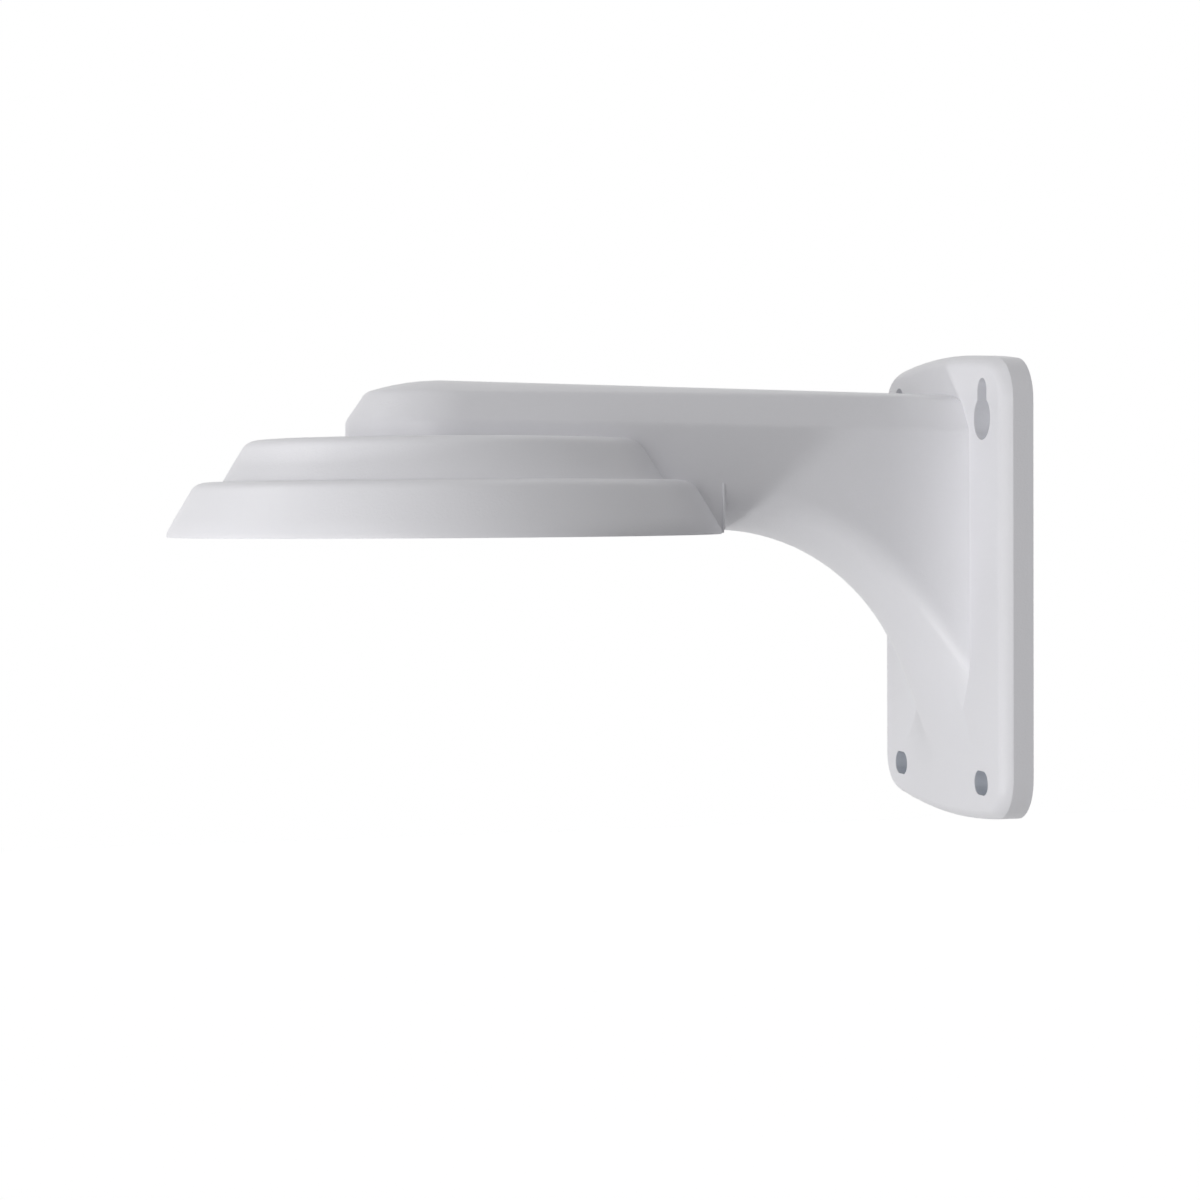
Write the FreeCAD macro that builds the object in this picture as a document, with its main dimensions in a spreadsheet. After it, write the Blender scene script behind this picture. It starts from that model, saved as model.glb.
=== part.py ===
"""Wall bracket for a dome security camera: one hollow aluminium casting.

Frame, in millimetres: the back face of the wall plate lies in the plane Y = 0 with the
origin at the plate's middle, +Z is up, and the arm reaches out along -Y to the round cap
that the camera is screwed under.
"""

import FreeCAD, Part
import math
import os

import Sketcher
from FreeCAD import Rotation, Vector

SIZES = [
    # Round cap over the camera
    ("cap_radius", 70.0),
    ("cap_level", 14.5),
    ("rim_band", 1.2),
    ("lower_ring_height", 13.65),
    ("lower_ring_top_radius", 62.7),
    ("ring_shoulder", 6.6),
    ("upper_flank_run", 6.3),
    ("upper_ring_height", 24.1),
    ("ring_rounding", 4.5),
    ("step_radius", 71.0),
    ("step_depth", 0.7),
    # Wall plate
    ("plate_width", 87.0),
    ("plate_height", 121.2),
    ("plate_thickness", 8.5),
    ("plate_end_radius", 290.0),
    ("plate_corner_radius", 11.0),
    ("plate_edge_rounding", 3.1),
    # Arm seen from above
    ("reach", 141.5),
    ("nose_radius", 25.1),
    ("arm_taper", 3.4),
    ("root_half_width", 24.7),
    ("root_depth", 2.1),
    ("root_flare_radius", 45.0),
    # Top of the arm
    ("crease_level", 43.0),
    ("crease_slope", 0.9),
    ("flank_angle", 34.0),
    ("ridge_level", 53.65),
    ("ridge_slope", 1.3),
    ("crown_radius", 60.0),
    ("crown_rounding", 3.0),
    ("crease_rounding", 3.0),
    # Arched underside of the arm
    ("arch_radius", 57.5),
    ("arch_centre_reach", 71.2),
    ("arch_top_level", 15.4),
    ("arch_turn", 69.0),
    ("foot_gap", 7.6),
    ("belly_radius", 32.0),
    ("belly_rounding", 8.0),
    # Casting walls and the hollows behind them
    ("wall", 3.0),
    ("plate_skin", 3.5),
    ("plate_rim", 3.5),
    ("column_half_width", 21.0),
    ("bay_gap", 4.9),
    # Bosses for the camera's screws
    ("boss_circle_radius", 57.0),
    ("boss_radius", 4.8),
    ("boss_recess", 4.0),
    ("camera_hole_radius", 1.65),
    ("camera_hole_depth", 8.0),
    # Screw holes in the plate
    ("keyhole_spacing", 60.8),
    ("keyhole_end_gap", 17.2),
    ("keyhole_radius", 5.5),
    ("keyhole_slot_radius", 3.05),
    ("keyhole_lift", 7.2),
    ("slot_spacing", 58.8),
    ("slot_end_gap", 10.9),
    ("slot_radius", 3.1),
    ("slot_length", 9.2),
]

CAMERA_BOSS_COUNT = 3
PAST = 12.0

UPPER_RING_RADIUS = "(sizes.lower_ring_top_radius - sizes.ring_shoulder)"
UPPER_TOP_RADIUS = f"({UPPER_RING_RADIUS} - sizes.upper_flank_run)"
KEYHOLE_LEVEL = "(sizes.plate_height / 2 - sizes.keyhole_end_gap)"
SLOT_LEVEL = "(sizes.plate_height / 2 - sizes.slot_end_gap)"


def fill_sheet(doc):
    """Put the driving sizes into the document's spreadsheet, one alias a row."""
    sheet = doc.addObject("Spreadsheet::Sheet", "sizes")
    for row, (alias, size) in enumerate(SIZES, start=1):
        sheet.set(f"A{row}", alias)
        sheet.set(f"B{row}", str(size))
        sheet.setAlias(f"B{row}", alias)
    doc.recompute()
    return sheet


def measure(expression):
    """Value of an expression on the sheet, as a plain number."""
    result = SHEET.evalExpression(expression)
    return float(getattr(result, "Value", result))


def bind(thing, path, expression):
    """Tie a property of a feature to the sheet."""
    thing.setExpression(path, expression)


def new_body(doc, label):
    body = doc.addObject("PartDesign::Body", label)
    body.Label = label
    return body


def origin_plane(body, role):
    return next(plane for plane in body.Origin.OriginFeatures if plane.Role == role)


def new_sketch(body, name, role, base=("0", "0", "0"), turn=None):
    """Sketch on one of the body's planes, moved by base and turned by degrees about its X."""
    sketch = body.newObject("Sketcher::SketchObject", name)
    sketch.AttachmentSupport = [(origin_plane(body, role), "")]
    sketch.MapMode = "FlatFace"
    angle = measure(turn) if turn else 0.0
    sketch.AttachmentOffset = FreeCAD.Placement(
        Vector(*(measure(part) for part in base)), Rotation(Vector(1, 0, 0), angle)
    )
    for axis, part in zip("xyz", base):
        bind(sketch, f"AttachmentOffset.Base.{axis}", part)
    if turn:
        bind(sketch, "AttachmentOffset.Rotation.Angle", turn)
    return sketch


def line(start, end):
    return Part.LineSegment(Vector(*start, 0), Vector(*end, 0))


def arc(centre, radius, start_angle, end_angle):
    """Arc that runs anticlockwise between two angles in degrees."""
    circle = Part.Circle(Vector(*centre, 0), Vector(0, 0, 1), radius)
    return Part.ArcOfCircle(circle, math.radians(start_angle), math.radians(end_angle))


def angle_of(centre, point):
    return math.degrees(math.atan2(point[1] - centre[1], point[0] - centre[0]))


def draw(sketch, curves, smooth=()):
    """Add curves to a sketch and join their ends, tangentially for the pairs in smooth."""
    first = sketch.GeometryCount
    for curve in curves:
        sketch.addGeometry(curve, False)
    last = sketch.GeometryCount
    for one in range(first, last):
        for two in range(one + 1, last):
            join_ends(sketch, one, two, (one - first, two - first) in smooth)


def join_ends(sketch, one, two, is_smooth):
    for end_one in (1, 2):
        for end_two in (1, 2):
            gap = sketch.getPoint(one, end_one) - sketch.getPoint(two, end_two)
            if gap.Length < 1e-6:
                kind = "Tangent" if is_smooth else "Coincident"
                sketch.addConstraint(Sketcher.Constraint(kind, one, end_one, two, end_two))


def dimension(sketch, expression, kind, *where):
    """Dimension that takes its value from the sheet."""
    index = sketch.addConstraint(Sketcher.Constraint(kind, *where, measure(expression)))
    bind(sketch, f"Constraints[{index}]", expression)


def pad(body, name, sketch, length, reverse=False, taper=None):
    feature = body.newObject("PartDesign::Pad", name)
    feature.Profile = sketch
    feature.Reversed = reverse
    bind(feature, "Length", length)
    if taper:
        bind(feature, "TaperAngle", taper)
    finish(feature)
    return feature


def pocket(body, name, sketch, reverse=False):
    """Cut a sketch's outline out of the body, all the way through to one side."""
    before = body.Shape.Volume
    feature = body.newObject("PartDesign::Pocket", name)
    feature.Profile = sketch
    feature.Type = "ThroughAll"
    feature.Reversed = reverse
    finish(feature)
    require_less(body, before, name)
    return feature


def groove(body, name, sketch, axis, angle, reverse=False):
    before = body.Shape.Volume
    feature = body.newObject("PartDesign::Groove", name)
    feature.Profile = sketch
    feature.ReferenceAxis = (sketch, [axis])
    feature.Reversed = reverse
    bind(feature, "Angle", angle)
    finish(feature)
    require_less(body, before, name)
    return feature


def revolve(body, name, sketch, axis):
    feature = body.newObject("PartDesign::Revolution", name)
    feature.Profile = sketch
    feature.ReferenceAxis = (sketch, [axis])
    feature.Angle = 360.0
    finish(feature)
    return feature


def round_edges(body, name, wanted, radius):
    """Fillet every edge of the body that the test picks."""
    edges = body.Shape.Edges
    picked = [f"Edge{number}" for number, edge in enumerate(edges, start=1) if wanted(edge)]
    base = body.Tip
    feature = body.newObject("PartDesign::Fillet", name)
    feature.Base = (base, picked)
    bind(feature, "Radius", radius)
    finish(feature)
    return feature


def finish(feature):
    """Recompute a feature and stop if it failed."""
    feature.Document.recompute()
    if not feature.isValid() or feature.Shape.isNull():
        raise RuntimeError(f"{feature.Label}: {feature.State}")


def require_less(body, before, name):
    if body.Shape.Volume > before - 1.0:
        raise RuntimeError(f"{name} cuts nothing")


def middle(edge):
    return edge.valueAt((edge.FirstParameter + edge.LastParameter) / 2.0)


def face_normals(shape, edge):
    """Outward normals of the faces on each side of an edge, at its middle."""
    point = middle(edge)
    normals = []
    for face in shape.ancestorsOfType(edge, Part.Face):
        u, v = face.Surface.parameter(point)
        normals.append(face.normalAt(u, v))
    return normals


def arm_lines(inset):
    """Points of the arm's plan outline on its +X side, about the cap's axis.

    The side is a straight line that leaves the round nose tangentially and meets the
    plate in a hollow flare.
    """
    nose = measure(f"sizes.nose_radius - {inset}")
    flare = measure(f"sizes.root_flare_radius + {inset}")
    taper = math.radians(measure("sizes.arm_taper"))
    end = (measure(f"sizes.root_half_width - {inset}"), measure("sizes.reach - sizes.root_depth"))
    past = (end[0], measure(f"sizes.reach + {PAST}"))
    out = (math.cos(taper), math.sin(taper))
    along = (-out[1], out[0])
    tangent = (nose * out[0], nose * out[1])
    offset = (end[0] - tangent[0] - flare * out[0], end[1] - tangent[1] - flare * out[1])
    run = offset[0] * along[0] + offset[1] * along[1]
    run -= math.sqrt(run**2 - offset[0] ** 2 - offset[1] ** 2 + flare**2)
    start = (tangent[0] + run * along[0], tangent[1] + run * along[1])
    centre = (start[0] + flare * out[0], start[1] + flare * out[1])
    rim = measure(f"sizes.step_radius - {inset}")
    chord = math.sqrt(rim**2 - nose**2)
    crossing = (tangent[0] + chord * along[0], tangent[1] + chord * along[1])
    return tangent, crossing, start, centre, end, past


def mirrored(point):
    return (-point[0], point[1])


def flare_arcs(inset, start, centre, end):
    """The two hollow flares at the root, +X side first."""
    radius = measure(f"sizes.root_flare_radius + {inset}")
    right = arc(centre, radius, angle_of(centre, end), angle_of(centre, start))
    far = mirrored(centre)
    left = arc(far, radius, angle_of(far, mirrored(start)), angle_of(far, mirrored(end)))
    return right, left


def arm_sketch(body, name):
    """Sketch in the sloping plane of the crease, with its origin on the cap's axis."""
    base = ("0", "-sizes.reach", "sizes.crease_level")
    return new_sketch(body, name, "XY_Plane", base, "-sizes.crease_slope")


def dimension_flares(sketch, inset, right, left, end_of_right, end_of_left):
    dimension(sketch, f"sizes.root_flare_radius + {inset}", "Radius", right)
    sketch.addConstraint(Sketcher.Constraint("Equal", right, left))
    half_width = f"sizes.root_half_width - {inset}"
    dimension(sketch, half_width, "DistanceX", -1, 1, right, end_of_right)
    dimension(sketch, half_width, "DistanceX", left, end_of_left, -1, 1)
    for curve, end in ((right, end_of_right), (left, end_of_left)):
        dimension(sketch, "sizes.reach - sizes.root_depth", "DistanceY", -1, 1, curve, end)


def slant_sides(sketch, upward, downward):
    """Give the arm's two straight sides their taper."""
    for side, sign in ((upward, 1), (downward, -1)):
        expression = f"{sign} * (90 + sizes.arm_taper)"
        angle = math.radians(measure(expression))
        index = sketch.addConstraint(Sketcher.Constraint("Angle", side, angle))
        bind(sketch, f"Constraints[{index}]", expression)


def finish_root(sketch, inset, right, left):
    """Dimension the flares and the square end that runs on past the wall's plane."""
    dimension_flares(sketch, inset, right, left, 1, 2)
    for side in (right + 1, left - 1):
        sketch.addConstraint(Sketcher.Constraint("Vertical", side))
    sketch.addConstraint(Sketcher.Constraint("Horizontal", right + 2))
    dimension(sketch, f"sizes.reach + {PAST}", "DistanceY", -1, 1, right + 2, 1)


def whole_plan(body, name, inset):
    """The arm's whole outline: round nose, straight tapering sides, flared root."""
    tangent, _, start, centre, end, past = arm_lines(inset)
    nose = measure(f"sizes.nose_radius - {inset}")
    taper = measure("sizes.arm_taper")
    right_flare, left_flare = flare_arcs(inset, start, centre, end)
    sketch = arm_sketch(body, name)
    curves = [
        arc((0, 0), nose, 180.0 - taper, 360.0 + taper),
        line(tangent, start),
        right_flare,
        line(end, past),
        line(past, mirrored(past)),
        line(mirrored(past), mirrored(end)),
        left_flare,
        line(mirrored(start), mirrored(tangent)),
    ]
    draw(sketch, curves, smooth={(0, 1), (1, 2), (6, 7), (0, 7)})
    sketch.addConstraint(Sketcher.Constraint("Coincident", 0, 3, -1, 1))
    dimension(sketch, f"sizes.nose_radius - {inset}", "Radius", 0)
    finish_root(sketch, inset, 2, 6)
    slant_sides(sketch, 1, 7)
    return sketch


def horn_plan(body, name, inset):
    """The part of the arm's outline that lies beyond the step below its sides."""
    _, crossing, start, centre, end, past = arm_lines(inset)
    rim = measure(f"sizes.step_radius - {inset}")
    right_flare, left_flare = flare_arcs(inset, start, centre, end)
    sketch = arm_sketch(body, name)
    side = angle_of((0, 0), crossing)
    curves = [
        arc((0, 0), rim, side, 180.0 - side),
        line(crossing, start),
        right_flare,
        line(end, past),
        line(past, mirrored(past)),
        line(mirrored(past), mirrored(end)),
        left_flare,
        line(mirrored(start), mirrored(crossing)),
    ]
    draw(sketch, curves, smooth={(1, 2), (6, 7)})
    sketch.addConstraint(Sketcher.Constraint("Coincident", 0, 3, -1, 1))
    dimension(sketch, f"sizes.step_radius - {inset}", "Radius", 0)
    finish_root(sketch, inset, 2, 6)
    slant_sides(sketch, 1, 7)
    for side_line in (1, 7):
        dimension(sketch, f"sizes.nose_radius - {inset}", "Distance", -1, 1, side_line)
    return sketch


def head_plan(body, name, inset):
    """The part of the arm's outline that lies between its nose and the step."""
    tangent, crossing, _, _, _, _ = arm_lines(inset)
    nose = measure(f"sizes.nose_radius - {inset}")
    rim = measure(f"sizes.step_radius - {inset}")
    taper = measure("sizes.arm_taper")
    side = angle_of((0, 0), crossing)
    sketch = arm_sketch(body, name)
    curves = [
        arc((0, 0), nose, 180.0 - taper, 360.0 + taper),
        line(tangent, crossing),
        arc((0, 0), rim, side, 180.0 - side),
        line(mirrored(crossing), mirrored(tangent)),
    ]
    draw(sketch, curves, smooth={(0, 1), (0, 3)})
    sketch.addConstraint(Sketcher.Constraint("Coincident", 0, 3, -1, 1))
    sketch.addConstraint(Sketcher.Constraint("Coincident", 2, 3, -1, 1))
    dimension(sketch, f"sizes.nose_radius - {inset}", "Radius", 0)
    dimension(sketch, f"sizes.step_radius - {inset}", "Radius", 2)
    slant_sides(sketch, 1, 3)
    return sketch


def belly_section(body, name, inset, depth):
    """Section of the space under the arm, in the radial plane where the arch ends.

    Its upper side is the arc that gives the arm its rounded belly. Its lower side lies
    below the arch's axis by depth, or on the axis where depth is None.
    """
    radius = measure(f"sizes.belly_radius - {inset}")
    span = 0.82 * radius
    middle_height = measure("sizes.arch_radius + sizes.belly_radius")
    shoulder = middle_height - math.sqrt(radius**2 - span**2)
    floor = -measure(depth) if depth else 0.0
    base = ("0", "-sizes.arch_centre_reach", "sizes.arch_top_level - sizes.arch_radius")
    sketch = new_sketch(body, name, "XY_Plane", base, "90 - sizes.arch_turn")
    centre = (0.0, middle_height)
    curves = [
        arc(centre, radius, angle_of(centre, (-span, shoulder)), angle_of(centre, (span, shoulder))),
        line((span, shoulder), (span, floor)),
        line((span, floor), (-span, floor)),
        line((-span, floor), (-span, shoulder)),
    ]
    draw(sketch, curves)
    sketch.addConstraint(Sketcher.Constraint("PointOnObject", 0, 3, -2))
    sketch.addConstraint(Sketcher.Constraint("Vertical", 1))
    sketch.addConstraint(Sketcher.Constraint("Vertical", 3))
    sketch.addConstraint(Sketcher.Constraint("Horizontal", 2))
    dimension(sketch, "sizes.arch_radius + sizes.belly_radius", "DistanceY", -1, 1, 0, 3)
    dimension(sketch, f"sizes.belly_radius - {inset}", "Radius", 0)
    half_width = f"0.82 * (sizes.belly_radius - {inset})"
    dimension(sketch, half_width, "DistanceX", -1, 1, 1, 1)
    dimension(sketch, half_width, "DistanceX", 3, 1, -1, 1)
    if depth:
        dimension(sketch, depth, "DistanceY", 1, 2, -1, 1)
    else:
        sketch.addConstraint(Sketcher.Constraint("PointOnObject", 1, 2, -1))
    return sketch


def crown_section(body, name, inset, is_half):
    """Section of the space above the crown, square to the ridge at the cap's axis.

    Its lower side is the crown's arc, with its top point at the sketch's origin.
    """
    base = ("0", f"sizes.ridge_level - {inset}", "sizes.reach")
    sketch = new_sketch(body, name, "XZ_Plane", base, "-sizes.ridge_slope")
    radius = measure(f"sizes.crown_radius - {inset}")
    span = 0.58 * radius
    edge = math.sqrt(radius**2 - span**2) - radius
    top = measure("sizes.crease_level / 2")
    centre = (0.0, -radius)
    near = 0.0 if is_half else -span
    start = (0.0, 0.0) if is_half else (-span, edge)
    curves = [
        arc(centre, radius, angle_of(centre, (span, edge)), angle_of(centre, start)),
        line((span, edge), (span, top)),
        line((span, top), (near, top)),
        line((near, top), start),
    ]
    draw(sketch, curves)
    sketch.addConstraint(Sketcher.Constraint("PointOnObject", 0, 3, -2))
    sketch.addConstraint(Sketcher.Constraint("Vertical", 1))
    sketch.addConstraint(Sketcher.Constraint("Vertical", 3))
    sketch.addConstraint(Sketcher.Constraint("Horizontal", 2))
    dimension(sketch, f"sizes.crown_radius - {inset}", "DistanceY", 0, 3, -1, 1)
    dimension(sketch, f"sizes.crown_radius - {inset}", "Radius", 0)
    half_width = f"0.58 * (sizes.crown_radius - {inset})"
    dimension(sketch, half_width, "DistanceX", -1, 1, 1, 1)
    if is_half:
        sketch.addConstraint(Sketcher.Constraint("PointOnObject", 3, 1, -2))
    else:
        dimension(sketch, half_width, "DistanceX", 3, 1, -1, 1)
    dimension(sketch, "sizes.crease_level / 2", "DistanceY", -1, 1, 2, 1)
    return sketch


def is_belly_edge(shape):
    """Test for the long lower edges, where an upright side meets the rounded belly."""

    def wanted(edge):
        normals = face_normals(shape, edge)
        sides = [n for n in normals if abs(n.x) > 0.8 and abs(n.z) < 0.1]
        bellies = [n for n in normals if n.z < -0.1 and abs(n.x) < 0.8]
        return len(sides) == 1 and len(bellies) == 1

    return wanted


def is_crown_edge(shape):
    """Test for the edges where the leaning flank meets the crown."""

    def wanted(edge):
        normals = face_normals(shape, edge)
        flanks = [n for n in normals if 0.3 < n.z < 0.8]
        crowns = [n for n in normals if n.z > 0.85]
        return len(flanks) == 1 and len(crowns) == 1

    return wanted


def is_crease_edge(shape, past):
    """Test for the edges where the leaning flank meets the arm's upright sides."""

    def wanted(edge):
        normals = face_normals(shape, edge)
        flanks = [n for n in normals if 0.3 < n.z < 0.8]
        sides = [n for n in normals if abs(n.z) < 0.1]
        return len(flanks) == 1 and len(sides) == 1 and middle(edge).y < past

    return wanted


def build_arm(doc, label, inset, bottom, has_round_belly):
    """The arm as a solid, its surface moved inwards by inset.

    A horn with upright sides and an arched belly stands beyond the step, a head runs from
    the step to the nose down to the level called bottom, and a flank leans in above both up
    to the crown.
    """
    body = new_body(doc, label)
    plan = horn_plan(body, f"{label}_horn_plan", inset)
    drop = f"sizes.crease_level + sizes.plate_height / 2 - sizes.foot_gap - {inset}"
    pad(body, f"{label}_horn", plan, drop, reverse=True)
    swept = belly_section(body, f"{label}_belly", inset, None)
    groove(body, f"{label}_arch", swept, "H_Axis", "180")
    straight = belly_section(body, f"{label}_belly_foot", inset, "2 * sizes.arch_radius")
    pocket(body, f"{label}_arch_foot", straight)
    if has_round_belly:
        edges = is_belly_edge(body.Shape)
        round_edges(body, f"{label}_belly_edges", edges, "sizes.belly_rounding")
    head = head_plan(body, f"{label}_head_plan", inset)
    sag = "sizes.step_radius * sin(sizes.crease_slope)"
    pad(body, f"{label}_head", head, f"sizes.crease_level - {sag} - ({bottom})", reverse=True)
    whole = whole_plan(body, f"{label}_plan", inset)
    rise = f"sizes.ridge_level - {inset} - sizes.crease_level + 2"
    pad(body, f"{label}_flank", whole, rise, taper="-sizes.flank_angle")
    pocket(body, f"{label}_crown", crown_section(body, f"{label}_crown_line", inset, False))
    dome = crown_section(body, f"{label}_dome_line", inset, True)
    groove(body, f"{label}_dome", dome, "V_Axis", "180", reverse=True)
    return body


def ring_sketch(body, name, levels):
    """Lathe outline round the cap's axis, on its nose side, as a closed polygon."""
    sketch = new_sketch(body, name, "YZ_Plane", ("-sizes.reach", "0", "0"))
    levels = [(f"-({radius})", level) for radius, level in levels]
    points = [(measure(radius), measure(level)) for radius, level in levels]
    ends = points[1:] + points[:1]
    draw(sketch, [line(start, end) for start, end in zip(points, ends)])
    for index, (radius, level) in enumerate(levels):
        place(sketch, index, radius, level)
    return sketch


def place(sketch, index, across, up):
    """Fix the start point of a line by two expressions, either of which may be zero."""
    if measure(across) == 0.0:
        sketch.addConstraint(Sketcher.Constraint("PointOnObject", index, 1, -2))
    elif measure(across) > 0.0:
        dimension(sketch, across, "DistanceX", -1, 1, index, 1)
    else:
        dimension(sketch, f"-({across})", "DistanceX", index, 1, -1, 1)
    if measure(up) > 0.0:
        dimension(sketch, up, "DistanceY", -1, 1, index, 1)
    else:
        dimension(sketch, f"-({up})", "DistanceY", index, 1, -1, 1)


def build_cap(doc):
    """Two stepped conical rings, solid, with the cap's axis at the arm's nose."""
    body = new_body(doc, "cap")
    lower_top = "sizes.cap_level + sizes.lower_ring_height"
    levels = [
        ("0", "sizes.cap_level"),
        ("sizes.cap_radius", "sizes.cap_level"),
        ("sizes.cap_radius", "sizes.cap_level + sizes.rim_band"),
        ("sizes.lower_ring_top_radius", lower_top),
        (UPPER_RING_RADIUS, lower_top),
        (UPPER_TOP_RADIUS, "sizes.cap_level + sizes.upper_ring_height"),
        ("0", "sizes.cap_level + sizes.upper_ring_height"),
    ]
    sketch = ring_sketch(body, "cap_outline", levels)
    revolve(body, "cap_rings", sketch, "V_Axis")
    round_edges(body, "cap_shoulders", is_shoulder_edge(body.Shape), "sizes.ring_rounding")
    return body


def is_shoulder_edge(shape):
    """Test for the round edges where a ring's flank meets the flat above it."""

    def wanted(edge):
        normals = face_normals(shape, edge)
        flats = [n for n in normals if n.z > 0.99]
        flanks = [n for n in normals if 0.2 < n.z < 0.9]
        return len(flats) == 1 and len(flanks) == 1 and is_convex(shape, edge)

    return wanted


def is_convex(shape, edge):
    """Whether the body lies inside the angle that an edge's two faces make."""
    first, second = face_normals(shape, edge)
    inside = middle(edge) - (first + second).normalize() * 0.05
    beside = middle(edge) + (first - second).normalize() * 0.05
    return shape.isInside(inside, 1e-6, False) and not shape.isInside(beside, 1e-6, False)


def plate_sketch(body, name):
    """The wall plate's outline: upright sides and gently arched ends."""
    sketch = new_sketch(body, name, "XZ_Plane")
    half_width = measure("sizes.plate_width / 2")
    half_height = measure("sizes.plate_height / 2")
    radius = measure("sizes.plate_end_radius")
    corner = measure("sizes.plate_corner_radius")
    centre_level = half_height - radius
    inner = radius - corner
    spot = (half_width - corner, centre_level + math.sqrt(inner**2 - (half_width - corner) ** 2))
    top_centre = (0.0, centre_level)
    slope = angle_of(top_centre, spot)
    curves = []
    for sign in (1, -1):
        centre = (0.0, sign * centre_level)
        near = (sign * spot[0], sign * spot[1])
        far = (-near[0], near[1])
        turn = 0.0 if sign == 1 else 180.0
        curves.append(arc(near, corner, turn, turn + slope))
        curves.append(arc(centre, radius, turn + slope, turn + 180.0 - slope))
        curves.append(arc(far, corner, turn + 180.0 - slope, turn + 180.0))
        side = -sign * half_width
        curves.append(line((side, near[1]), (side, -near[1])))
    pairs = {(index, index + 1) for index in range(7)} | {(0, 7)}
    draw(sketch, curves, smooth=pairs)
    for end in (1, 5):
        sketch.addConstraint(Sketcher.Constraint("PointOnObject", end, 3, -2))
        dimension(sketch, "sizes.plate_end_radius", "Radius", end)
    height = "sizes.plate_end_radius - sizes.plate_height / 2"
    dimension(sketch, height, "DistanceY", 1, 3, -1, 1)
    dimension(sketch, height, "DistanceY", -1, 1, 5, 3)
    for index in (0, 2, 4, 6):
        dimension(sketch, "sizes.plate_corner_radius", "Radius", index)
    dimension(sketch, "sizes.plate_width / 2", "DistanceX", 3, 1, -1, 1)
    dimension(sketch, "sizes.plate_width / 2", "DistanceX", -1, 1, 7, 1)
    sketch.addConstraint(Sketcher.Constraint("Vertical", 3))
    sketch.addConstraint(Sketcher.Constraint("Vertical", 7))
    return sketch


def is_front_edge(shape, level):
    """Test for the edges that lie in the plate's front face."""

    def wanted(edge):
        points = [edge.valueAt(edge.FirstParameter), middle(edge), edge.valueAt(edge.LastParameter)]
        return all(abs(point.y - level) < 1e-4 for point in points)

    return wanted


def build_plate(doc):
    body = new_body(doc, "bracket_casting")
    pad(body, "plate", plate_sketch(body, "plate_outline"), "sizes.plate_thickness")
    front = is_front_edge(body.Shape, -measure("sizes.plate_thickness"))
    round_edges(body, "plate_front_edge", front, "sizes.plate_edge_rounding")
    return body


def combine(body, name, other, kind):
    """Join another body to this one, or cut it out."""
    before = body.Shape.Volume
    feature = body.newObject("PartDesign::Boolean", name)
    feature.Type = kind
    feature.Refine = False
    feature.setObjects([other])
    finish(feature)
    if kind == "Cut":
        require_less(body, before, name)
    return feature


def trim_behind_wall(body):
    """Cut off whatever stands behind the wall's plane."""
    sketch = new_sketch(body, "wall_plane", "XZ_Plane")
    half = measure("sizes.plate_height")
    corners = [(-half, -half), (half, -half), (half, half), (-half, half)]
    draw(sketch, [line(a, b) for a, b in zip(corners, corners[1:] + corners[:1])])
    signs = ((-1, -1), (1, -1), (1, 1), (-1, 1))
    for index, (across, up) in enumerate(signs):
        place(sketch, index, f"{across} * sizes.plate_height", f"{up} * sizes.plate_height")
    pocket(body, "wall_side", sketch)


def build_cap_core(doc):
    """The space inside the cap, open below, which leaves an even wall.

    Bosses for the camera's screws stand down into it from the lower ring's ceiling, each
    with a blind hole.
    """
    body = new_body(doc, "cap_core")
    ceiling = "sizes.cap_level + sizes.lower_ring_height - sizes.wall"
    roof = "sizes.cap_level + sizes.upper_ring_height - sizes.wall"
    levels = [
        ("0", f"sizes.cap_level - {PAST}"),
        ("sizes.cap_radius - sizes.wall", f"sizes.cap_level - {PAST}"),
        ("sizes.cap_radius - sizes.wall", "sizes.cap_level + sizes.rim_band"),
        ("sizes.lower_ring_top_radius - sizes.wall / 2", ceiling),
        (f"{UPPER_RING_RADIUS} - sizes.wall / 2", ceiling),
        (f"{UPPER_TOP_RADIUS} - sizes.wall / 2", roof),
        ("0", roof),
    ]
    sketch = ring_sketch(body, "cap_core_outline", levels)
    revolve(body, "cap_core_rings", sketch, "V_Axis")
    foot = "sizes.cap_level + sizes.boss_recess"
    bosses = boss_sketch(body, "boss_circles", "sizes.boss_radius", foot)
    blind_pocket(body, "camera_bosses", bosses, "sizes.upper_ring_height")
    holes = boss_sketch(body, "camera_hole_circles", "sizes.camera_hole_radius", foot)
    pad(body, "camera_holes", holes, "sizes.camera_hole_depth")
    return body


def boss_sketch(body, name, radius, base_level):
    """Three circles round the cap's axis, at a level."""
    base = ("0", "-sizes.reach", base_level)
    sketch = new_sketch(body, name, "XY_Plane", base)
    circle_radius = measure("sizes.boss_circle_radius")
    for index in range(CAMERA_BOSS_COUNT):
        turn = math.radians(-90.0 + 360.0 / CAMERA_BOSS_COUNT * index)
        spot = Vector(circle_radius * math.cos(turn), circle_radius * math.sin(turn), 0)
        sketch.addGeometry(Part.Circle(spot, Vector(0, 0, 1), measure(radius)), False)
        dimension(sketch, radius, "Radius", index)
        reach = f"sizes.boss_circle_radius * sin({360 / CAMERA_BOSS_COUNT * index:.0f})"
        drop = f"-sizes.boss_circle_radius * cos({360 / CAMERA_BOSS_COUNT * index:.0f})"
        place_centre(sketch, index, reach, drop)
    return sketch


def place_centre(sketch, index, across, up):
    """Fix the centre of a circle by two expressions, either of which may be negative."""
    for kind, expression, axis in (("DistanceX", across, -2), ("DistanceY", up, -1)):
        size = measure(expression)
        if abs(size) < 1e-9:
            sketch.addConstraint(Sketcher.Constraint("PointOnObject", index, 3, axis))
        elif size > 0.0:
            dimension(sketch, expression, kind, -1, 1, index, 3)
        else:
            dimension(sketch, f"-({expression})", kind, index, 3, -1, 1)


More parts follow.
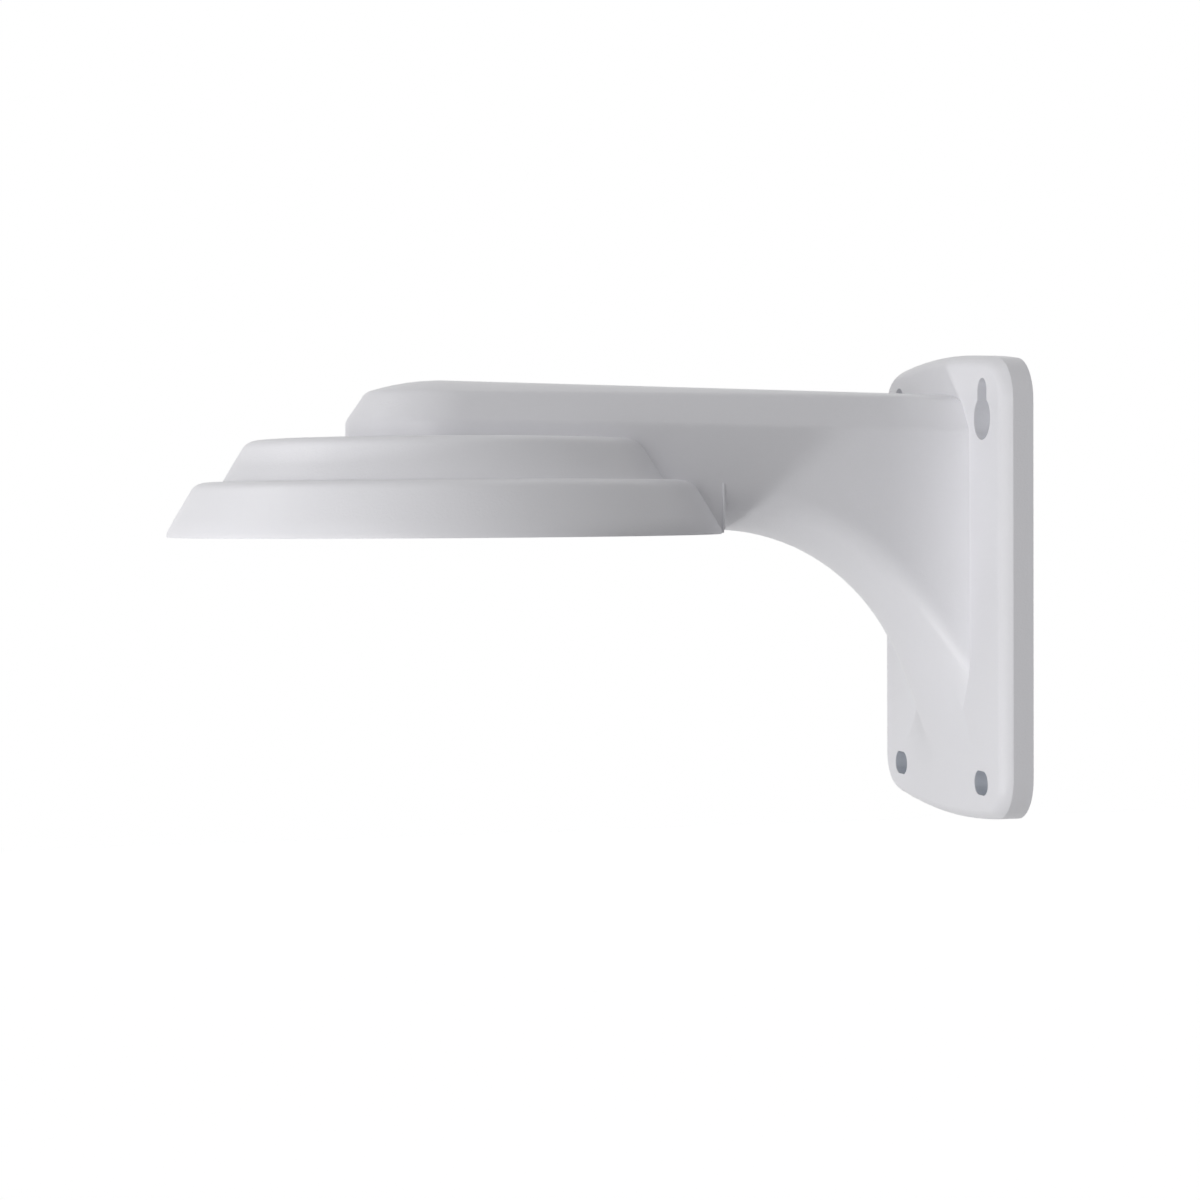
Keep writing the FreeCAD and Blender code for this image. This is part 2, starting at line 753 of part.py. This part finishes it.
def blind_pocket(body, name, sketch, depth, reverse=True):
    """Cut a sketch's outline to a depth, along the sketch's normal unless told otherwise."""
    before = body.Shape.Volume
    feature = body.newObject("PartDesign::Pocket", name)
    feature.Profile = sketch
    feature.Reversed = reverse
    feature.Refine = False
    bind(feature, "Length", depth)
    finish(feature)
    require_less(body, before, name)
    return feature


def recess_plate_back(body):
    """Thin the plate from behind, leaving its rim and the four screw corners full."""
    half_width = "sizes.plate_width / 2 - sizes.plate_rim"
    half_height = "sizes.plate_height / 2 - 2 * sizes.plate_rim"
    column = "sizes.column_half_width"
    top = f"({KEYHOLE_LEVEL} - sizes.keyhole_radius - sizes.bay_gap)"
    bottom = f"({SLOT_LEVEL} - sizes.slot_radius - sizes.bay_gap)"
    corners = [
        (column, half_height),
        (f"-{column}", half_height),
        (f"-{column}", top),
        (f"-({half_width})", top),
        (f"-({half_width})", f"-{bottom}"),
        (f"-{column}", f"-{bottom}"),
        (f"-{column}", f"-({half_height})"),
        (column, f"-({half_height})"),
        (column, f"-{bottom}"),
        (half_width, f"-{bottom}"),
        (half_width, top),
        (column, top),
    ]
    sketch = new_sketch(body, "back_recess_line", "XZ_Plane")
    points = [(measure(across), measure(up)) for across, up in corners]
    draw(sketch, [line(a, b) for a, b in zip(points, points[1:] + points[:1])])
    for index, (across, up) in enumerate(corners):
        place(sketch, index, across, up)
    blind_pocket(body, "back_recess", sketch, "sizes.plate_thickness - sizes.plate_skin")


def cut_keyholes(body):
    """Two upright keyholes: a round hole for the screw's head with a slot above it."""
    sketch = new_sketch(body, "keyhole_lines", "XZ_Plane")
    level = measure(KEYHOLE_LEVEL)
    lift = measure("sizes.keyhole_lift")
    wide = measure("sizes.keyhole_radius")
    narrow = measure("sizes.keyhole_slot_radius")
    neck = math.sqrt(wide**2 - narrow**2)
    for index, sign in enumerate((1, -1)):
        across = sign * measure("sizes.keyhole_spacing / 2")
        centre = (across, level)
        top = (across, level + lift)
        right = (across + narrow, level + neck)
        left = (across - narrow, level + neck)
        curves = [
            arc(centre, wide, angle_of(centre, left), angle_of(centre, right) + 360.0),
            line(right, (across + narrow, level + lift)),
            arc(top, narrow, 0.0, 180.0),
            line((across - narrow, level + lift), left),
        ]
        draw(sketch, curves, smooth={(1, 2), (2, 3)})
        first = 4 * index
        sketch.addConstraint(Sketcher.Constraint("Vertical", first + 1))
        dimension(sketch, "sizes.keyhole_radius", "Radius", first)
        dimension(sketch, "sizes.keyhole_slot_radius", "Radius", first + 2)
        spacing = f"{sign} * sizes.keyhole_spacing / 2"
        place_centre(sketch, first, spacing, KEYHOLE_LEVEL)
        place_centre(sketch, first + 2, spacing, f"{KEYHOLE_LEVEL} + sizes.keyhole_lift")
    blind_pocket(body, "keyholes", sketch, f"sizes.plate_thickness + {PAST}")


def cut_lower_slots(body):
    """Two slots that lie level, for the lower wall screws."""
    sketch = new_sketch(body, "lower_slot_lines", "XZ_Plane")
    radius = measure("sizes.slot_radius")
    straight = measure("sizes.slot_length / 2 - sizes.slot_radius")
    level = -measure(SLOT_LEVEL)
    for index, sign in enumerate((1, -1)):
        across = sign * measure("sizes.slot_spacing / 2")
        right = (across + straight, level)
        left = (across - straight, level)
        curves = [
            arc(right, radius, -90.0, 90.0),
            line((right[0], level + radius), (left[0], level + radius)),
            arc(left, radius, 90.0, 270.0),
            line((left[0], level - radius), (right[0], level - radius)),
        ]
        draw(sketch, curves, smooth={(0, 1), (1, 2), (2, 3), (0, 3)})
        first = 4 * index
        dimension(sketch, "sizes.slot_radius", "Radius", first)
        middle_line = f"{sign} * sizes.slot_spacing / 2"
        straight_half = "(sizes.slot_length / 2 - sizes.slot_radius)"
        place_centre(sketch, first, f"{middle_line} + {straight_half}", f"-{SLOT_LEVEL}")
        place_centre(sketch, first + 2, f"{middle_line} - {straight_half}", f"-{SLOT_LEVEL}")
    blind_pocket(body, "lower_slots", sketch, f"sizes.plate_thickness + {PAST}")


def check(doc):
    """Stop if any object of the document failed or holds an unusable shape."""
    for thing in doc.Objects:
        if "Invalid" in thing.State or "Error" in thing.State:
            raise RuntimeError(f"{thing.Label}: {thing.State}")
        if not thing.isDerivedFrom("Part::Feature"):
            continue
        if thing.Shape.isNull() or not thing.Shape.isValid():
            raise RuntimeError(f"{thing.Label}: shape is not valid")


def main():
    doc = FreeCAD.newDocument("wall_bracket")
    global SHEET
    SHEET = fill_sheet(doc)
    arm = build_arm(doc, "arm", "0", "sizes.arch_top_level - sizes.step_depth", True)
    round_edges(arm, "arm_crown_edges", is_crown_edge(arm.Shape), "sizes.crown_rounding")
    round_edges(arm, "arm_crease", is_crease_edge(arm.Shape, 5.0), "sizes.crease_rounding")
    cap = build_cap(doc)
    core = build_arm(doc, "core", "sizes.wall", "sizes.arch_top_level + sizes.wall", False)
    casting = build_plate(doc)
    combine(casting, "with_arm", arm, "Fuse")
    combine(casting, "with_cap", cap, "Fuse")
    combine(casting, "cap_hollow", build_cap_core(doc), "Cut")
    combine(casting, "cable_way", core, "Cut")
    trim_behind_wall(casting)
    recess_plate_back(casting)
    cut_keyholes(casting)
    cut_lower_slots(casting)
    doc.recompute()
    check(doc)
    os.makedirs("parts", exist_ok=True)
    casting.Shape.exportStep(f"parts/{casting.Label}.step")
    print(casting.Label, len(casting.Shape.Solids), round(casting.Shape.Volume, 1))


main()
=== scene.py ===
"""Looks of the wall bracket: a white powder-coated casting in soft studio light.

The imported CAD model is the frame. The casting's own mesh gives its shape, so the script
adds a welded, smooth-shaded copy of it, its finish, the studio and the camera.
"""

from __future__ import annotations

import logging
import math
from dataclasses import dataclass, field
from enum import Enum

import bmesh
import bpy
from mathutils import Matrix, Vector

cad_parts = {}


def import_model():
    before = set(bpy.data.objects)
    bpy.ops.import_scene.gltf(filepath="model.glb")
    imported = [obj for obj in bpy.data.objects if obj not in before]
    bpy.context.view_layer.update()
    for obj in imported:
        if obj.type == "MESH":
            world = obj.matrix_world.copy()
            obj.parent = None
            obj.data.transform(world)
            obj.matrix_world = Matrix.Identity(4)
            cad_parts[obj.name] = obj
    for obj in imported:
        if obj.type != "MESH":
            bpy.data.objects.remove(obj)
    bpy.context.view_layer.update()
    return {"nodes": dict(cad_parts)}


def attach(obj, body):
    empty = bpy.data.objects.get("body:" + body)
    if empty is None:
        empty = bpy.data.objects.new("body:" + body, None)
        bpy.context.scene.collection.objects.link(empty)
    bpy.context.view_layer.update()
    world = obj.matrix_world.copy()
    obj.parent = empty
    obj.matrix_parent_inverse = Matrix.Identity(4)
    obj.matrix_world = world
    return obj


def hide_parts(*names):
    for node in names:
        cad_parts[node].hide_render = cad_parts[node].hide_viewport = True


LOG = logging.getLogger("wall_bracket")
CASTING = "bracket_casting"
MILLIMETRE = 0.001


class Operation(str, Enum):
    """Maths that the shader signals use."""

    ADD = "ADD"
    SUBTRACT = "SUBTRACT"
    MULTIPLY = "MULTIPLY"
    ABSOLUTE = "ABSOLUTE"
    LESS_THAN = "LESS_THAN"
    MAXIMUM = "MAXIMUM"


class Graph:
    """Node tree that is put together from code."""

    def __init__(self, tree: bpy.types.NodeTree) -> None:
        """Start with an empty tree.

        Args:
            tree: Node tree of a material or a world.
        """
        self.tree = tree
        tree.nodes.clear()

    def node(
        self,
        kind: str,
        settings: dict[str, object] | None = None,
        inputs: dict[str | int, object] | None = None,
    ) -> bpy.types.Node:
        """Add a node.

        Args:
            kind: Type of the node.
            settings: Properties, which are set before any socket.
            inputs: Values, signals or output sockets, by input name or index.

        Returns:
            The new node.
        """
        node = self.tree.nodes.new(kind)
        for name, choice in (settings or {}).items():
            setattr(node, name, choice)
        for name, value in (inputs or {}).items():
            if isinstance(value, Signal):
                value = value.socket
            if isinstance(value, bpy.types.NodeSocket):
                self.tree.links.new(value, node.inputs[name])
            else:
                node.inputs[name].default_value = value
        return node


class Signal:
    """A number on a shader socket that maths can be done with."""

    def __init__(self, graph: Graph, socket: bpy.types.NodeSocket) -> None:
        """Wrap a socket.

        Args:
            graph: Node tree that the socket belongs to.
            socket: Output socket that carries the number.
        """
        self.graph = graph
        self.socket = socket

    def _apply(self, operation: Operation, *values: Signal | float) -> Signal:
        """Work out an operation on values.

        Args:
            operation: Maths to do.
            values: Signals and numbers, in the operation's order.

        Returns:
            The result.
        """
        settings = {"operation": operation.value}
        node = self.graph.node("ShaderNodeMath", settings, dict(enumerate(values)))
        return Signal(self.graph, node.outputs[0])

    def __add__(self, other: Signal | float) -> Signal:
        """This plus another value."""
        return self._apply(Operation.ADD, self, other)

    def __radd__(self, other: float) -> Signal:
        """A number plus this."""
        return self._apply(Operation.ADD, other, self)

    def __sub__(self, other: Signal | float) -> Signal:
        """This less another value."""
        return self._apply(Operation.SUBTRACT, self, other)

    def __rsub__(self, other: float) -> Signal:
        """A number less this."""
        return self._apply(Operation.SUBTRACT, other, self)

    def __mul__(self, other: Signal | float) -> Signal:
        """This times another value."""
        return self._apply(Operation.MULTIPLY, self, other)

    def __rmul__(self, other: float) -> Signal:
        """A number times this."""
        return self._apply(Operation.MULTIPLY, other, self)

    def __abs__(self) -> Signal:
        """Size of this, without its sign."""
        return self._apply(Operation.ABSOLUTE, self)

    def __lt__(self, other: Signal | float) -> Signal:
        """1 where this is less than another value, and 0 elsewhere."""
        return self._apply(Operation.LESS_THAN, self, other)

    def maximum(self, other: Signal | float) -> Signal:
        """Larger of this and another value."""
        return self._apply(Operation.MAXIMUM, self, other)


@dataclass(frozen=True)
class PowderCoat:
    """White satin finish of the casting, with a fine grain and slow changes of gloss."""

    colour: tuple[float, float, float] = (0.814, 0.811, 0.843)
    roughness: float = 0.40
    roughness_swing: float = 0.06
    cloud_size: float = 1.0 / 60.0
    grain_size: float = 0.7 * MILLIMETRE
    grain_height: float = 0.05 * MILLIMETRE


@dataclass(frozen=True)
class HoleWallTone:
    """Darker, bluish grey, partly metallic look given to the walls of the screw holes. On the
    keyholes it is painted shade on their coated walls.
    """

    colour: tuple[float, float, float] = (0.54, 0.57, 0.62)
    metallic: float = 0.35
    roughness: float = 0.38


@dataclass(frozen=True)
class HoleWall:
    """Region round a pair of mirrored screw holes, and how far its wall is darkened towards the
    hole-wall tone.
    """

    across: float
    up: float
    half_width: float
    half_height: float
    darkening: float


# The slots' walls are darkened most of the way to the hole-wall tone.
LOWER_SLOTS = HoleWall(
    across=29.4 * MILLIMETRE,
    up=-49.7 * MILLIMETRE,
    half_width=4.8 * MILLIMETRE,
    half_height=3.3 * MILLIMETRE,
    darkening=0.85,
)
# Painted shade: the keyholes' coated walls are darkened a little in colour for the shade inside
# them.
KEYHOLES = HoleWall(
    across=30.4 * MILLIMETRE,
    up=45.9 * MILLIMETRE,
    half_width=5.7 * MILLIMETRE,
    half_height=8.1 * MILLIMETRE,
    darkening=0.2,
)


@dataclass(frozen=True)
class StepLip:
    """Fine raised edge, a thin upright rod, where the arm's head ends over the cap's rim."""

    across: float = 21.3 * MILLIMETRE
    out: float = -74.2 * MILLIMETRE
    low: float = 15.6 * MILLIMETRE
    high: float = 27.2 * MILLIMETRE
    radius: float = 0.35 * MILLIMETRE
    sides: int = 12


@dataclass(frozen=True)
class PlateEdge:
    """Front edge of the wall plate, which falls away to a crisp line on the side."""

    front: float = -8.5 * MILLIMETRE
    depth: float = 3.1 * MILLIMETRE
    clear_across: float = 38.0 * MILLIMETRE
    clear_up: float = 52.0 * MILLIMETRE
    tolerance: float = 0.01 * MILLIMETRE


@dataclass(frozen=True)
class SoftBox:
    """Square area light that faces the object."""

    name: str
    direction: tuple[float, float, float]
    distance: float
    side: float
    power: float


@dataclass(frozen=True)
class CameraFit:
    """Camera that matches the photograph: its place and turn, its lens and its near limit."""

    place: tuple[float, float, float] = (0.672445, -0.265852, 0.020860)
    forward: tuple[float, float, float] = (-0.97078846, 0.23756273, -0.0336706)
    up: tuple[float, float, float] = (-0.03120875, 0.0141173, 0.99941319)
    lens: float = 80.688
    sensor: float = 36.0
    nearest: float = 0.01
    farthest: float = 50.0


@dataclass(frozen=True)
class Studio:
    """Light tent round the object, in metres and watts."""

    target: tuple[float, float, float] = (0.0, -0.09, 0.0)
    floor_level: float = -0.80
    floor_side: float = 12.0
    floor_tone: float = 0.50
    floor_glow: float = 0.85
    floor_roughness: float = 0.9
    world_strength: float = 0.20
    boxes: tuple[SoftBox, ...] = field(
        default_factory=lambda: (
            SoftBox("left", (0.0, -1.0, 0.0), 1.3, 1.0, 3.38),
            SoftBox("key", (0.46, -0.76, -0.46), 1.2, 0.2, 3.81),
            SoftBox("key_wide", (0.6, -0.78, -0.15), 1.2, 0.25, 0.63),
            SoftBox("sheen", (-0.3, -0.68, 0.66), 1.3, 0.5, 1.23),
            SoftBox("left_high", (0.4, -0.7, 0.6), 1.3, 0.5, 0.98),
            SoftBox("front_left", (0.75, -0.65, 0.1), 1.3, 0.6, 3.44),
            SoftBox("right_high", (0.5, 0.6, 0.6), 1.3, 0.8, 0.98),
            SoftBox("top", (0.0, -0.1, 1.0), 1.3, 1.0, 2.20),
            SoftBox("rear", (-0.6, 0.85, 0.0), 1.3, 0.8, 2.00),
        )
    )


@dataclass(frozen=True)
class SmoothCasting:
    """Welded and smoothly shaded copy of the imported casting."""

    lip: StepLip = StepLip()
    edge: PlateEdge = PlateEdge()
    weld_distance: float = 0.002 * MILLIMETRE
    smooth_angle: float = math.radians(36.0)

    def build(
        self, source: bpy.types.Object, material: bpy.types.Material
    ) -> bpy.types.Object:
        """Make the copy and show it in place of the loose CAD triangles.

        Args:
            source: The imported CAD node.
            material: Finish of the piece.

        Returns:
            The new piece.
        """
        shape = bmesh.new()
        shape.from_mesh(source.data)
        bmesh.ops.remove_doubles(shape, verts=shape.verts, dist=self.weld_distance)
        self._shape_edge(shape)
        for side in (-1.0, 1.0):
            self._add_lip(shape, side)
        for face in shape.faces:
            face.smooth = True
        for line in shape.edges:
            line.smooth = self._is_soft(line) and not self._is_crisp(line)
        mesh = bpy.data.meshes.new(f"{CASTING}_skin")
        shape.to_mesh(mesh)
        shape.free()
        mesh.materials.append(material)
        piece = bpy.data.objects.new(f"{CASTING}_skin", mesh)
        bpy.context.scene.collection.objects.link(piece)
        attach(piece, "root")
        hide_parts(CASTING)
        LOG.info("%s: %d triangles", piece.name, len(mesh.polygons))
        return piece

    def _shape_edge(self, shape: bmesh.types.BMesh) -> None:
        """Let the plate's front edge fall away in a parabola, tangent to the face.

        Args:
            shape: Mesh whose round front edge gets the new section.
        """
        front, deep = self.edge.front, self.edge.depth
        near, far = self.edge.tolerance, deep - self.edge.tolerance
        for vert in shape.verts:
            depth = vert.co.y - front
            if not self._is_outer(vert) or not near < depth < far:
                continue
            inset = deep - math.sqrt(deep**2 - (deep - depth) ** 2)
            vert.co.y = front + deep * (1.0 - inset / deep) ** 2

    def _is_outer(self, vert: bmesh.types.BMVert) -> bool:
        """Whether a point lies in the border of the plate."""
        across, up = abs(vert.co.x), abs(vert.co.z)
        return across > self.edge.clear_across or up > self.edge.clear_up

    def _is_crisp(self, line: bmesh.types.BMEdge) -> bool:
        """Whether a mesh edge runs along the crisp line on the plate's side.

        Args:
            line: Edge of the mesh.

        Returns:
            Whether both of its ends lie on that line.
        """
        level = self.edge.front + self.edge.depth
        return all(
            self._is_outer(vert) and abs(vert.co.y - level) < self.edge.tolerance
            for vert in line.verts
        )

    def _add_lip(self, shape: bmesh.types.BMesh, side: float) -> None:
        """Set the raised edge along the corner of one step.

        Args:
            shape: Mesh that gets the rod.
            side: 1 for the side in the photograph, and -1 for the other one.
        """
        lip = self.lip
        middle = Vector((side * lip.across, lip.out, (lip.low + lip.high) / 2))
        bmesh.ops.create_cone(
            shape,
            cap_ends=True,
            segments=lip.sides,
            radius1=lip.radius,
            radius2=lip.radius,
            depth=lip.high - lip.low,
            matrix=Matrix.Translation(middle),
        )

    def _is_soft(self, line: bmesh.types.BMEdge) -> bool:
        """Whether shading runs smoothly across a mesh edge."""
        return len(line.link_faces) == 2 and line.calc_face_angle(math.pi) < self.smooth_angle


@dataclass(frozen=True)
class CoatedFinish:
    """Powder coat over the whole casting, with the walls of the screw holes darkened to a
    bluish grey; on the keyholes this is painted shade.
    """

    coat: PowderCoat = PowderCoat()
    hole_tone: HoleWallTone = HoleWallTone()
    holes: tuple[HoleWall, ...] = (LOWER_SLOTS, KEYHOLES)
    inner_face: float = 8.3 * MILLIMETRE
    wall_facing: float = 0.5
    noise_detail: float = 2.0

    def material(self) -> bpy.types.Material:
        """Put the material together.

        Returns:
            The material.
        """
        material = bpy.data.materials.new("white_powder_coat_look")
        material.use_nodes = True
        graph = Graph(material.node_tree)
        coat, hole_tone = self.coat, self.hole_tone
        coordinates = graph.node("ShaderNodeTexCoord").outputs
        hole = self._hole_wall(graph, coordinates)
        grain = self._noise(graph, coordinates["Object"], coat.grain_size)
        cloud = self._noise(graph, coordinates["Object"], coat.cloud_size)
        satin = (cloud - 0.5) * coat.roughness_swing + coat.roughness
        # Darkens the hole walls towards the hole-wall tone; on the keyholes this is painted
        # shade.
        colour = graph.node(
            "ShaderNodeMix",
            {"data_type": "RGBA"},
            {0: hole, 6: (*coat.colour, 1.0), 7: (*hole_tone.colour, 1.0)},
        )
        bump = graph.node(
            "ShaderNodeBump",
            inputs={"Strength": 1.0, "Distance": coat.grain_height, "Height": grain},
        )
        shader = graph.node(
            "ShaderNodeBsdfPrincipled",
            inputs={
                "Base Color": colour.outputs[2],
                "Metallic": hole * hole_tone.metallic,
                "Roughness": satin * (1.0 - hole) + hole_tone.roughness * hole,
                "Normal": bump.outputs["Normal"],
            },
        )
        graph.node("ShaderNodeOutputMaterial", inputs={"Surface": shader.outputs["BSDF"]})
        LOG.info("finish: %s", material.name)
        return material

    def _hole_wall(
        self, graph: Graph, coordinates: bpy.types.bpy_prop_collection
    ) -> Signal:
        """Find the walls of the screw holes, which run across the plate.

        Args:
            graph: Node tree of the material.
            coordinates: Outputs of its Texture Coordinate node.

        Returns:
            How far a point is darkened towards the hole-wall tone, which is 0 away from those
            walls.
        """
        place = graph.node("ShaderNodeSeparateXYZ", inputs={0: coordinates["Object"]})
        facing = graph.node("ShaderNodeSeparateXYZ", inputs={0: coordinates["Normal"]})
        across, out, up = (Signal(graph, socket) for socket in place.outputs)
        mask = 0.0
        # Mask of the darkened hole walls; on the keyholes it places painted shade.
        for hole in self.holes:
            near = abs(abs(across) - hole.across) < hole.half_width
            level = abs(up - hole.up) < hole.half_height
            mask = (near * level * hole.darkening).maximum(mask)
        is_wall = abs(Signal(graph, facing.outputs["Y"])) < self.wall_facing
        return mask * is_wall * (abs(out) < self.inner_face)

    def _noise(self, graph: Graph, vector: bpy.types.NodeSocket, size: float) -> Signal:
        """Add a noise.

        Args:
            graph: Node tree of the material.
            vector: Coordinates that the noise reads.
            size: Size of its spots, in metres.

        Returns:
            The noise, from 0 to 1.
        """
        inputs = {"Vector": vector, "Scale": 1.0 / size, "Detail": self.noise_detail}
        node = graph.node("ShaderNodeTexNoise", inputs=inputs)
        return Signal(graph, node.outputs["Fac"])


class StudioBuilder:
    """Floor, white surroundings, lights and camera."""

    def __init__(self, studio: Studio) -> None:
        """Keep the studio's sizes."""
        self.studio = studio

    def white_to_view(self, graph: Graph) -> Signal:
        """Tell the rays that see the plain white background from those that light the object.

        Args:
            graph: Node tree of the world or the floor.

        Returns:
            A signal that is 1 for camera, glossy and transmission rays.
        """
        path = graph.node("ShaderNodeLightPath")
        view = Signal(graph, path.outputs["Is Camera Ray"])
        for kind in ("Is Glossy Ray", "Is Transmission Ray"):
            view = view.maximum(Signal(graph, path.outputs[kind]))
        return view

    def world(self) -> None:
        """Even light from all round, seen as plain white."""
        world = bpy.data.worlds.new("light_tent")
        world.use_nodes = True
        bpy.context.scene.world = world
        graph = Graph(world.node_tree)
        white = (1.0, 1.0, 1.0, 1.0)
        strength = self.studio.world_strength
        tent = graph.node("ShaderNodeBackground", inputs={"Color": white, "Strength": strength})
        plain = graph.node("ShaderNodeBackground", inputs={"Color": white, "Strength": 1.0})
        view = self.white_to_view(graph)
        mix = graph.node(
            "ShaderNodeMixShader", inputs={0: view, 1: tent.outputs[0], 2: plain.outputs[0]}
        )
        graph.node("ShaderNodeOutputWorld", inputs={"Surface": mix.outputs[0]})
        LOG.info("world: strength %.2f", strength)

    def floor(self) -> None:
        """Pale floor well below the bracket."""
        half = self.studio.floor_side / 2
        shape = bmesh.new()
        bmesh.ops.create_grid(shape, x_segments=1, y_segments=1, size=half)
        bmesh.ops.translate(shape, verts=shape.verts, vec=(0.0, 0.0, self.studio.floor_level))
        mesh = bpy.data.meshes.new("floor")
        shape.to_mesh(mesh)
        shape.free()
        mesh.materials.append(self._floor_material())
        floor = bpy.data.objects.new("floor", mesh)
        bpy.context.scene.collection.objects.link(floor)
        LOG.info("floor at %.2f m", self.studio.floor_level)

    def _floor_material(self) -> bpy.types.Material:
        """Make a pale matt floor that is seen as white wherever no shadow falls on it.

        Returns:
            The material.
        """
        material = bpy.data.materials.new("floor_look")
        material.use_nodes = True
        graph = Graph(material.node_tree)
        tone = self.studio.floor_tone
        shader = graph.node(
            "ShaderNodeBsdfPrincipled",
            inputs={
                "Base Color": (tone, tone, tone, 1.0),
                "Roughness": self.studio.floor_roughness,
                "Emission Color": self.white_to_view(graph),
                "Emission Strength": self.studio.floor_glow,
            },
        )
        graph.node("ShaderNodeOutputMaterial", inputs={"Surface": shader.outputs["BSDF"]})
        return material

    def lights(self) -> None:
        """Soft boxes, each turned to the object."""
        target = Vector(self.studio.target)
        for box in self.studio.boxes:
            data = bpy.data.lights.new(box.name, "AREA")
            data.shape = "SQUARE"
            data.size = box.side
            data.energy = box.power
            light = bpy.data.objects.new(box.name, data)
            bpy.context.scene.collection.objects.link(light)
            away = Vector(box.direction).normalized()
            light.location = target + away * box.distance
            light.rotation_mode = "QUATERNION"
            light.rotation_quaternion = (-away).to_track_quat("-Z", "Y")
            LOG.info("light %s: %.1f W", box.name, box.power)

    def camera(self, fit: CameraFit) -> None:
        """Put the camera at the photograph's place.

        Args:
            fit: Its place, turn and lens.
        """
        data = bpy.data.cameras.new("camera")
        data.sensor_width = fit.sensor
        data.lens = fit.lens
        data.clip_start, data.clip_end = fit.nearest, fit.farthest
        camera = bpy.data.objects.new("camera", data)
        bpy.context.scene.collection.objects.link(camera)
        back = -Vector(fit.forward).normalized()
        right = Vector(fit.up).cross(back).normalized()
        up = back.cross(right)
        turn = Matrix((right, up, back)).transposed()
        camera.rotation_mode = "QUATERNION"
        camera.rotation_quaternion = turn.to_quaternion()
        camera.location = fit.place
        bpy.context.scene.camera = camera
        LOG.info("camera: %.1f mm lens", fit.lens)


def main() -> None:
    """Build the look and the studio."""
    logging.basicConfig(level=logging.INFO, format="%(message)s")
    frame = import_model()
    finish = CoatedFinish().material()
    SmoothCasting().build(frame["nodes"][CASTING], finish)
    studio = StudioBuilder(Studio())
    studio.world()
    studio.floor()
    studio.lights()
    studio.camera(CameraFit())
    bpy.context.scene.view_settings.view_transform = "Standard"


if __name__ == "__main__":
    main()
